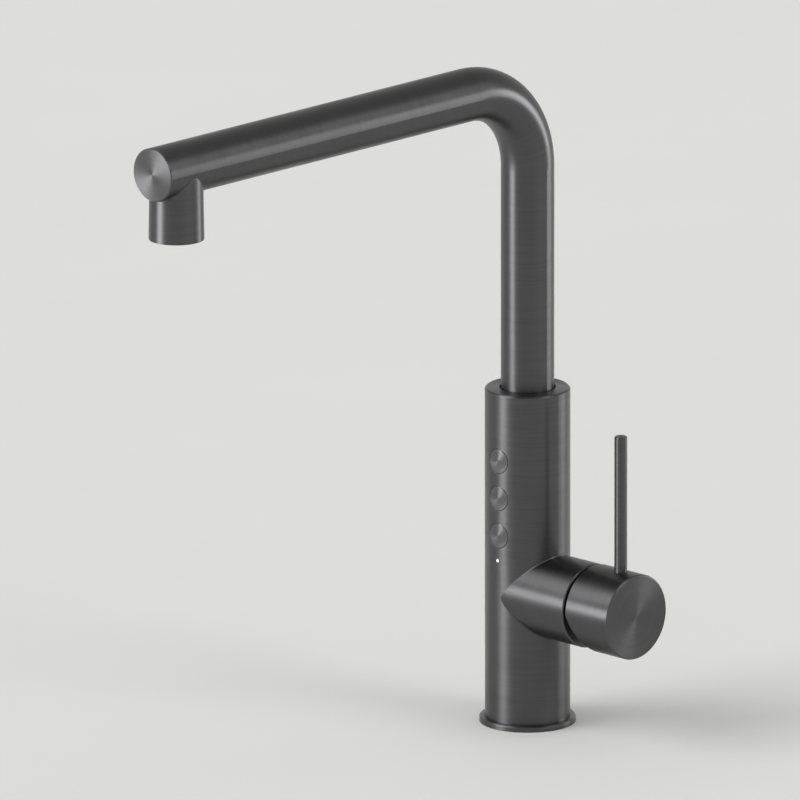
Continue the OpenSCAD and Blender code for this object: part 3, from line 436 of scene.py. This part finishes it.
def piece(name, points, faces, finish, body, smooth=True):
    """A new mesh in the row frame, given in mm, that rides on a CAD body."""
    mesh = bpy.data.meshes.new(name)
    corners = (np.asarray(points).reshape(-1, 3) / 1000).tolist()
    mesh.from_pydata(corners, [], [list(map(int, f)) for f in faces])
    mesh.polygons.foreach_set("use_smooth", np.full(len(mesh.polygons), smooth))
    mesh.materials.append(finish)
    mesh.update()
    made = in_scene(name, mesh)
    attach(made, body)
    return made


def female_thread(bore, pitch, low, high, ridge=0.45, flat=0.15, sink=0.15, around=64, rows=12):
    """A thread's ridge on a bore: inner radius bore - ridge * t(z / pitch - a / 2 pi), where t is a
    triangle wave with flats on its crest and root, faded out over half a turn at each end. Its
    back is a cylinder sunk into the wall. A grid of angle by height, with so many rows a turn,
    closed both ways."""
    a = np.linspace(0, math.tau, around, endpoint=False)[:, None]
    z = np.linspace(low, high, int((high - low) / pitch * rows) + 1)[None, :]
    wave = np.abs((z / pitch - a / math.tau) % 1.0 * 2 - 1)
    tooth = np.clip((wave - flat) / (1 - 2 * flat), 0, 1)
    fade = np.clip(np.minimum(z - low, high - z) / (pitch / 2), 0, 1)
    inner = bore - ridge * tooth * fade
    radius = np.concatenate([inner, np.full((around, 2), bore + sink)], 1)
    height = np.concatenate([z + 0 * a, high + 0 * a, low + 0 * a], 1)
    return np.stack([radius * np.cos(a), radius * np.sin(a), height], -1)


# for each hole: its place x and y, the bore's radius, the thread's pitch, and where the thread ends
plate_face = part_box("inlet_plate")[0].z * 1000
lead_in = 0.3
for hole_name, x, y, bore, pitch, depth in (
    ("front_hose", 5, -8.5, 4.5, 1.0, 8.6), ("back_hose", 5, 8.5, 4.5, 1.0, 8.6),
    ("filter_hose", -9.8, 0, 4.5, 1.0, 8.6), ("stud", -4.5, 11, 3.35, 1.25, 9.4),
):
    ridge = female_thread(bore, pitch, plate_face + lead_in, plate_face + depth)
    piece(
        f"{hole_name}_thread", ridge + np.array([x, y, 0]), quads(*ridge.shape[:2]), brass_plate,
        "body",
    )

# Snap ring and plate screws: plain stainless steel, bright with fine tool marks. The ring sits in
# the body's groove under the plate; three socket head screws join the plate to the valve block.
STAINLESS = ("9fa2a5", "d2d4d6")
stainless = machined("machined_stainless_steel", *STAINLESS)
dress(stainless, "plate_snap_ring", "plate_screws")

# Seals under the valve block and the cable's grommet: nitrile rubber rings in their grooves, and a
# rubber sleeve that closes the cable hole round the cable. They are matt and nearly black.
nitrile = rubber("black_nitrile_rubber", "171718", 0.2)
dress(nitrile, "plate_seals", "cable_grommet")

# Valve block: brass bar, turned outside and drilled for the water ways, with the cartridge's seat
# bored in its side. Two brass pipes are pressed into its top.
dress(
    machined("turned_brass", *BRASS), "valve_block", "mixed_water_pipe", "filtered_water_pipe",
)

# Body shell: steel tube, 40 mm across, with the mixer's boss welded to its right side. Both are
# brushed round their own axes before the graphite coating goes on.
SHELL_RADIUS, BOSS_RADIUS, BOSS_HEIGHT = 20.0, 19.9, 63.35
MIXER_AXIS = ((0, 0, BOSS_HEIGHT), (0, -math.pi / 2, 0))


def body_marks(tree, skin=0.02):
    """Lathe marks round the upright axis up to the shell's surface and round the boss's beyond."""
    upright, upright_grain = lathe_lines(tree)
    boss, boss_grain = lathe_lines(tree, *MIXER_AXIS)
    local = placed(tree)
    flat = add(
        tree, "ShaderNodeVectorMath", {"operation": "MULTIPLY", 1: (1, 1, 0)},
        {0: (local, "Vector")},
    )
    radius = add(tree, "ShaderNodeVectorMath", {"operation": "LENGTH"}, {0: (flat, "Vector")})
    beyond = add(
        tree, "ShaderNodeMath", {"operation": "GREATER_THAN", 1: SHELL_RADIUS + skin},
        {0: (radius, "Value")},
    )
    marks = add(
        tree, "ShaderNodeMix", {"data_type": "VECTOR"},
        {0: (beyond, "Value"), 4: upright, 5: boss},
    )
    grain = add(
        tree, "ShaderNodeMix", {"data_type": "VECTOR"},
        {0: (beyond, "Value"), 4: upright_grain, 5: boss_grain},
    )
    return (marks, 1), (grain, 1)


body_graphite = brushed("graphite_steel_body", body_marks, *GRAPHITE)
dress(body_graphite, "body_shell")


# Boss weld: the bead where the boss meets the body, dressed to an even 0.5 mm hollow and coated
# with the rest, so that the seam reads as one soft line.
def weld(centres, first, second, ball, steps=8, sink=0.25):
    """A dressed weld: the arc that a ball of that radius leaves between two surfaces whose outward
    normals at the ball's centre are first and second, c - ball (n1 (1-s) + n2 s) / |...|, with s
    from 1 to 0, closed by one point behind the seam, at ball / cos(half the angle) + sink."""
    s = np.linspace(1, 0, steps)[None, :, None]
    between = first[:, None] * (1 - s) + second[:, None] * s
    between /= np.linalg.norm(between, axis=-1, keepdims=True)
    middle = first + second
    length = np.linalg.norm(middle, axis=-1, keepdims=True)
    sunk = centres - middle / length * (ball / (length / 2) + sink)
    arc = centres[:, None] - ball * between
    return np.concatenate([arc, sunk[:, None]], 1)


def saddle(steps, ball, big, small, height):
    """Centres of a ball that rolls between an upright cylinder (big) and one along +X (small) at a
    height, and the outward normals: y = (small + ball) cos a, x = sqrt((big + ball)² - y²)."""
    a = np.linspace(0, math.tau, steps, endpoint=False)
    y, rise = (small + ball) * np.cos(a), (small + ball) * np.sin(a)
    x = np.sqrt((big + ball) ** 2 - y ** 2)
    centres = np.stack([x, y, height + rise], 1)
    upright = np.stack([x, y, 0 * x], 1) / (big + ball)
    level = np.stack([0 * a, np.cos(a), np.sin(a)], 1)
    return centres, upright, level


hollow = 0.5
seam = weld(*saddle(240, hollow, SHELL_RADIUS, BOSS_RADIUS, BOSS_HEIGHT), hollow)
piece("boss_weld", seam, quads(*seam.shape[:2]), body_graphite, "body")

# Spout stop screw: a black-oxide steel grub screw at the back of the body, dull and almost black.
# Its nose runs in the spout foot's groove, which holds the spout down and limits its swing.
BLACK_OXIDE = ("26272a", "3a3b3e")
FACING = (math.pi / 2, 0, 0)  # lays a lathe axis from front to back
stop_height = 145.6
dress(
    machined("black_oxide_steel", *BLACK_OXIDE, (0.35, 0.5), 0.3, (0, 0, stop_height), FACING),
    "spout_stop_screw",
)


# Switch carrier and connector: moulded acetal and nylon, off-white with the fine spark texture of
# the mould. The carrier stands on the valve block and holds the board and the springs.
def moulded(name, shade, paler, rough=0.42, grain_mm=0.35, ior=1.48, depth_mm=0.012):
    """Moulded plastic: an even colour that pales slightly in cloudy flow marks about 8 mm across,
    over a spark texture that varies the shine by 0.06 either way."""
    made, tree = material(name)
    own = placed(tree)
    grain = add(
        tree, "ShaderNodeTexNoise", {"Scale": 1 / grain_mm, "Detail": 2.0},
        {"Vector": (own, "Vector")},
    )
    flow = add(
        tree, "ShaderNodeTexNoise", {"Scale": 0.12, "Detail": 2.0, "Distortion": 0.6},
        {"Vector": (own, "Vector")},
    )
    tint = add(
        tree, "ShaderNodeMix", {"data_type": "RGBA", 6: linear(shade), 7: linear(paler)},
        {0: (flow, "Fac")},
    )
    matt = add(
        tree, "ShaderNodeMapRange",
        {"From Min": 0.3, "From Max": 0.7, "To Min": rough - 0.06, "To Max": rough + 0.06},
        {"Value": (grain, "Fac")},
    )
    relief = add(
        tree, "ShaderNodeBump", {"Strength": 0.3, "Distance": depth_mm / 1000},
        {"Height": (grain, "Fac")},
    )
    solid = add(
        tree, "ShaderNodeBsdfPrincipled", {"IOR": ior},
        {"Base Color": (tint, 2), "Roughness": (matt, "Result"), "Normal": (relief, "Normal")},
    )
    add(tree, "ShaderNodeOutputMaterial", links={"Surface": (solid, "BSDF")})
    return made


acetal = moulded("white_acetal", "e4e2da", "eeece6")
dress(acetal, "switch_carrier", "board_connector")

# Button board: glass-fibre board under glossy green solder resist, with paler copper tracks 0.4 mm
# wide that show through it on a 2.5 mm grid, and four small screws into the carrier.
board, tree = material("green_solder_resist")
own = placed(tree)
tracks = add(
    tree, "ShaderNodeTexBrick",
    {
        "Color1": linear("1c5634"), "Color2": linear("1f5f3a"), "Mortar": linear("3f8457"),
        "Scale": 1.0, "Mortar Size": 0.2, "Brick Width": 5.0, "Row Height": 2.5,
    },
    {"Vector": (own, "Vector")},
)
relief = add(
    tree, "ShaderNodeBump", {"Strength": 0.5, "Distance": 0.00003}, {"Height": (tracks, "Fac")},
)
resist = add(
    tree, "ShaderNodeBsdfPrincipled", {"Roughness": 0.28, "IOR": 1.55},
    {"Base Color": (tracks, "Color"), "Normal": (relief, "Normal")},
)
add(tree, "ShaderNodeOutputMaterial", links={"Surface": (resist, "BSDF")})
dress(board, "switch_board")
dress(stainless, "board_screws")

# Switches: one under each button, soldered to the board. Their housings are black nylon, moulded
# with a satin face, and each has a round plunger.
dress(moulded("black_nylon", "1a1a1b", "242425", 0.5, 0.25, 1.53), "tact_switches")

# Status light: a white diode on the board, and the clear acrylic rod that brings its light to the
# body's surface, where its polished tip shows as a small white dot.
glow, tree = material("lit_acrylic")
own = placed(tree)
haze = add(
    tree, "ShaderNodeTexNoise", {"Scale": 1.5, "Detail": 2.0}, {"Vector": (own, "Vector")},
)
milky = add(
    tree, "ShaderNodeMix", {"data_type": "RGBA", 6: linear("f3f6f8"), 7: linear("ffffff")},
    {0: (haze, "Fac")},
)
acrylic = add(
    tree, "ShaderNodeBsdfPrincipled",
    {
        "Roughness": 0.12, "IOR": 1.49,
        "Emission Color": linear("f4f8ff"), "Emission Strength": 0.7,
    },
    {"Base Color": (milky, 2)},
)
add(tree, "ShaderNodeOutputMaterial", links={"Surface": (acrylic, "BSDF")})
dress(glow, "light_guide", "status_light")

# Return springs: bright stainless wire, 0.5 mm, coiled 8.8 mm across, with end turns closed flat.
# Each one sits in the carrier's round seat and is squeezed as its button goes in.
BUTTON_HEIGHTS = {"top": 129.0, "middle": 111.0, "bottom": 93.0}


def coil(across, wire, length, turns=4.5, closed=0.8, steps=260, sides=12, snug=1.02):
    """A wire round z: c(t) = (R cos a, R sin a, z(t)) with a = 2 pi t, its height the integral of a
    pitch that is snug times one wire in the closed end turns and even between them. The wire's own
    circle is carried along c in the plane of the radius and the axis, and ends in a point."""
    t = np.linspace(0, turns, steps)
    ends = np.clip(np.minimum(t, turns - t) / closed, 0, 1)
    pitch = ends ** 2 * (3 - 2 * ends)
    climb = np.concatenate([[0], np.cumsum((pitch[1:] + pitch[:-1]) / 2 * np.diff(t))])
    closing = wire * snug * t
    height = closing + climb / climb[-1] * (length - wire - closing[-1])
    angle = math.tau * t
    middle = np.stack(
        [across / 2 * np.cos(angle), across / 2 * np.sin(angle), height + wire / 2], 1,
    )
    radial = np.stack([np.cos(angle), np.sin(angle), 0 * angle], 1)
    axis = np.array([0, 0, 1.0])
    q = np.linspace(0, math.tau, sides, endpoint=False)
    thick = np.full(steps, wire / 2)
    thick[[0, -1]] = wire / 400
    ring = radial[:, None] * np.cos(q)[None, :, None] - axis * np.sin(q)[None, :, None]
    return middle[:, None] + thick[:, None, None] * ring


def open_quads(rows, columns):
    """Quads over a grid closed only along its columns, with one face on each end row."""
    sides = quads(rows, columns)[: (rows - 1) * columns].tolist()
    last = (rows - 1) * columns
    return sides + [list(range(columns))[::-1], list(range(last, last + columns))]


wire_steel = machined("spring_steel_wire", "8b8e91", "b9bcbf", (0.2, 0.3), 0.3)
spring_low, spring_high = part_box("spring_top")
seat_depth = -spring_high.y * 1000
spring_length = (spring_high.y - spring_low.y) * 1000
for button, height in BUTTON_HEIGHTS.items():
    turn = coil(across=8.8, wire=0.5, length=spring_length)
    # local z runs to the front: (x, y, z) becomes (x, -z, y)
    turned = np.stack([turn[..., 0], -turn[..., 2] - seat_depth, turn[..., 1] + height], -1)
    spring = piece(
        f"{button}_return_spring", turned, open_quads(*turn.shape[:2]), wire_steel, "body",
    )
    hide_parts(f"spring_{button}")
    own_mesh(spring)


# Buttons: turned steel caps, curved to the body and spun on their own axes, so that they catch the
# light apart from the body. The step round each face leaves a fine dark ring.
def lines_round(centre, turn=(0, 0, 0)):
    """Lathe lines round an axis through a centre, in the form that brushed asks for."""
    return lambda tree: lathe_lines(tree, centre, turn)


for button, height in BUTTON_HEIGHTS.items():
    spun = brushed(
        f"graphite_steel_{button}_button", lines_round((0, 0, height), FACING),
        dark="5a5a5b", light="757576", rough=(0.26, 0.36), line_mm=0.3, length_mm=12,
    )
    dress(spun, f"button_{button}")

# Cartridge: glass-filled nylon base and housing, satin grey, with a white acetal rotor and carrier.
# The brass nut holds it on its seat, and nitrile rings seal its three ports.
nylon = moulded("grey_glass_filled_nylon", "7f8386", "8d9194", 0.5, 0.3, 1.53)
dress(nylon, "cartridge_base", "cartridge_housing")
dress(nitrile, "cartridge_seals")
dress(acetal, "cartridge_rotor", "disc_carrier")
mixer_centre, mixer_turn = MIXER_AXIS
dress(
    machined("turned_brass_nut", *BRASS, centre=mixer_centre, turn=mixer_turn), "cartridge_nut",
)

# Ceramic discs: white alumina, lapped flat until they seal on each other. That leaves them glossy,
# with the faintest grey polishing haze.
alumina = moulded("lapped_alumina", "efede7", "f5f4f0", 0.16, 0.2, 1.76, 0.002)
dress(alumina, "fixed_disc", "moving_disc")

# Lever stem and its pin: ground stainless steel, brighter than turned steel. The pin crosses the
# rotor, and the square stem rocks on it and carries the hub.
dress(
    machined("ground_stainless_steel", *STAINLESS, (0.18, 0.28), 0.5, *MIXER_AXIS),
    "lever_stem", "stem_pin",
)

# Trim dome and handle hub: turned steel, brushed round the mixer's axis and coated as the body is.
# The hub is hollow round the dome, and its lower rear is cut away so that it can tilt.
dress(
    brushed("graphite_steel_turned_level", lines_round(*MIXER_AXIS), *GRAPHITE),
    "trim_dome", "handle_hub",
)

# Lever rod: a 6 mm steel rod with a chamfered tip, screwed into the hub and locked by a grub screw
# from below, whose hole is closed by a rubber plug.
rod_centre = (60.53, 0, 0)
dress(
    brushed("graphite_steel_rod", lines_round(rod_centre), *GRAPHITE, length_mm=12), "lever_rod",
)
dress(
    machined("black_oxide_grub_screw", *BLACK_OXIDE, (0.35, 0.5), 0.3, rod_centre),
    "handle_grub_screw",
)
dress(nitrile, "grub_screw_plug")

# Spout foot: turned brass, soldered into the tube's lower end. It turns in the body's socket on two
# acetal glide rings, with nitrile seals between them.
dress(machined("turned_brass_foot", *BRASS), "spout_foot")
dress(nitrile, "foot_seals")
dress(acetal, "foot_glide_rings")

# Spout tube: steel tube, 25 mm across, bent once to a 41 mm radius. It is brushed round the tube
# all the way, through the bend too, and coated.
TUBE_RADIUS, BEND_RADIUS, BEND_HEIGHT = 12.5, 41.3, 267.7
RUN_HEIGHT = BEND_HEIGHT + BEND_RADIUS


def tube_marks(tree):
    """Marks round a tube that goes up, bends and runs level. The length along it is
    min(z, zb) + R atan2(max(z - zb, 0), max(y + R, 0)) + max(-y - R, 0); the grain follows it."""
    local = placed(tree)
    parts = add(tree, "ShaderNodeSeparateXYZ", links={"Vector": (local, "Vector")})
    straight = add(
        tree, "ShaderNodeMath", {"operation": "MINIMUM", 1: BEND_HEIGHT}, {0: (parts, "Z")},
    )
    above = add(
        tree, "ShaderNodeMath", {"operation": "SUBTRACT", 1: BEND_HEIGHT}, {0: (parts, "Z")},
    )
    rise = add(tree, "ShaderNodeMath", {"operation": "MAXIMUM", 1: 0.0}, {0: (above, "Value")})
    behind = add(tree, "ShaderNodeMath", {"operation": "ADD", 1: BEND_RADIUS}, {0: (parts, "Y")})
    back = add(tree, "ShaderNodeMath", {"operation": "MAXIMUM", 1: 0.0}, {0: (behind, "Value")})
    ahead = add(tree, "ShaderNodeMath", {"operation": "MINIMUM", 1: 0.0}, {0: (behind, "Value")})
    angle = add(
        tree, "ShaderNodeMath", {"operation": "ARCTAN2"}, {0: (rise, "Value"), 1: (back, "Value")},
    )
    bend = add(
        tree, "ShaderNodeMath", {"operation": "MULTIPLY_ADD", 1: BEND_RADIUS},
        {0: (angle, "Value"), 2: (straight, "Value")},
    )
    along = add(
        tree, "ShaderNodeMath", {"operation": "SUBTRACT"},
        {0: (bend, "Value"), 1: (ahead, "Value")},
    )
    marks = add(
        tree, "ShaderNodeCombineXYZ",
        links={"X": (along, "Value"), "Y": (parts, "X"), "Z": (parts, "Z")},
    )
    sine = add(tree, "ShaderNodeMath", {"operation": "SINE"}, {0: (angle, "Value")})
    forward = add(
        tree, "ShaderNodeMath", {"operation": "MULTIPLY", 1: -1.0}, {0: (sine, "Value")},
    )
    upward = add(tree, "ShaderNodeMath", {"operation": "COSINE"}, {0: (angle, "Value")})
    grain = add(
        tree, "ShaderNodeCombineXYZ", links={"Y": (forward, "Value"), "Z": (upward, "Value")},
    )
    return (marks, "Vector"), (grain, "Vector")


dress(brushed("graphite_steel_spout", tube_marks, *GRAPHITE), "spout_tube")

# End cap and outlet: a turned disc closes the tube's end, and its rings catch the light as a fan. A
# slightly conical sleeve is welded to the tube's underside over the water hole.
OUTLET_REACH = 231
dress(
    brushed(
        "graphite_steel_cap", lines_round((0, 0, RUN_HEIGHT), FACING), *GRAPHITE, length_mm=14,
    ),
    "spout_end_cap",
)
outlet_centre = (0, -OUTLET_REACH, 0)
outlet_graphite = brushed("graphite_steel_outlet", lines_round(outlet_centre), *GRAPHITE)
dress(outlet_graphite, "outlet_nozzle")


def outlet_seam(steps, ball, mouth=12.9, taper=0.59, length=32.8):
    """Centres of a ball between the tube, along y, and the sleeve, whose radius falls from mouth by
    taper over its length: x = (r + ball) sin a, z = run height - sqrt((tube + ball)² - x²). The
    sleeve's radius hangs on z, so the two are worked out in turn until they settle."""
    a = np.linspace(0, math.tau, steps, endpoint=False)
    height = np.full(steps, RUN_HEIGHT)
    for _ in range(6):
        sleeve = mouth - taper * (height - (RUN_HEIGHT - length)) / length
        x, y = (sleeve + ball) * np.sin(a), (sleeve + ball) * np.cos(a)
        height = RUN_HEIGHT - np.sqrt((TUBE_RADIUS + ball) ** 2 - x ** 2)
    centres = np.stack([x, y - OUTLET_REACH, height], 1)
    tube = np.stack([x, 0 * x, height - RUN_HEIGHT], 1)
    tube /= np.linalg.norm(tube, axis=1, keepdims=True)
    sleeve_out = np.stack([np.sin(a), np.cos(a), 0 * a], 1)
    return centres, tube, sleeve_out


hollow = 0.4
seam = weld(*outlet_seam(200, hollow), hollow)
piece("outlet_weld", seam, quads(*seam.shape[:2]), outlet_graphite, "spout")

# Inner tube: flexible polyethylene tube, waxy white, that carries filtered water alone through the
# spout so that it never meets mixed water, and its nozzle in the middle of the outlet.
polyethylene = moulded("natural_polyethylene", "e2e4e2", "ebedeb", 0.38, 0.5, 1.51)
dress(polyethylene, "spout_inner_tube", "filtered_water_nozzle")

# Aerator: bright turned stainless housing, screwed up into the sleeve with a coin key and sealed by
# a flat nitrile ring.
dress(
    machined("turned_stainless_aerator", *STAINLESS, (0.16, 0.28), 0.35, outlet_centre),
    "aerator_housing",
)
dress(nitrile, "aerator_seal")


# Aerator insert: moulded grey acetal honeycomb that straightens the jet, with cells 1.5 mm across
# between walls of 0.3 mm, in a plain rim, round the filtered water nozzle's collar.
def honeycomb(inner, outer, low, high, across=1.5, wall=0.3, span=8):
    """Hexagonal cells whose centres lie on a triangular lattice of pitch across + wall, between two
    radii. Each cell is a grid of 6 corners by 4 rings: its outer hexagon low and high, its hole
    high and low, closed both ways, so every cell is a tube."""
    pitch = across + wall
    i, j = np.meshgrid(np.arange(-span, span + 1), np.arange(-span, span + 1), indexing="ij")
    centres = np.stack([pitch * (i + j / 2), pitch * j * math.sqrt(3) / 2], -1).reshape(-1, 2)
    reach = np.hypot(*centres.T)
    centres = centres[(reach > inner + pitch / 2) & (reach < outer - pitch / 2)]
    a = math.radians(30) + np.arange(6) * math.pi / 3
    corner = np.stack([np.cos(a), np.sin(a)], 1) / math.cos(math.pi / 6)
    rings = [(pitch / 2, low), (across / 2, low), (across / 2, high), (pitch / 2, high)]
    cell = np.stack([np.column_stack([corner * r, np.full(6, z)]) for r, z in rings], 1)
    return cell[None] + np.column_stack([centres, 0 * centres[:, 0]])[:, None, None]


def revolved(profile, steps=96):
    """A closed profile of (radius, height) turned once round the z axis."""
    a = np.linspace(math.tau, 0, steps, endpoint=False)[:, None]
    radius, height = np.array(profile).T
    return np.stack([radius * np.cos(a), radius * np.sin(a), height + 0 * a], -1)


low, high = (corner.z * 1000 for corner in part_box("aerator_insert"))
rim_hole, rim_edge = 8.3, 9.2
collar_hole, collar_edge = 3.06, 4.6
cells = honeycomb(inner=3.6, outer=8.9, low=low + 0.6, high=high - 0.8)
rim = revolved(
    [
        (rim_hole, low + 0.2), (rim_hole + 0.2, low), (rim_edge, low), (rim_edge, high),
        (rim_hole, high),
    ],
)
collar = revolved(
    [
        (collar_hole, low + 0.1), (collar_edge - 0.3, low + 0.1), (collar_edge, low + 0.5),
        (collar_edge, high), (collar_hole, high),
    ],
)
points, faces = [], []
for grid in [*cells, rim, collar]:
    faces += (quads(*grid.shape[:2]) + sum(len(p) for p in points)).tolist()
    points.append(grid.reshape(-1, 3))
insert = piece(
    "aerator_honeycomb", np.concatenate(points) + np.array(outlet_centre), faces,
    moulded("light_grey_acetal", "c3c6c8", "d0d3d5", 0.4, 0.3), "spout",
    smooth=False,
)
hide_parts("aerator_insert")
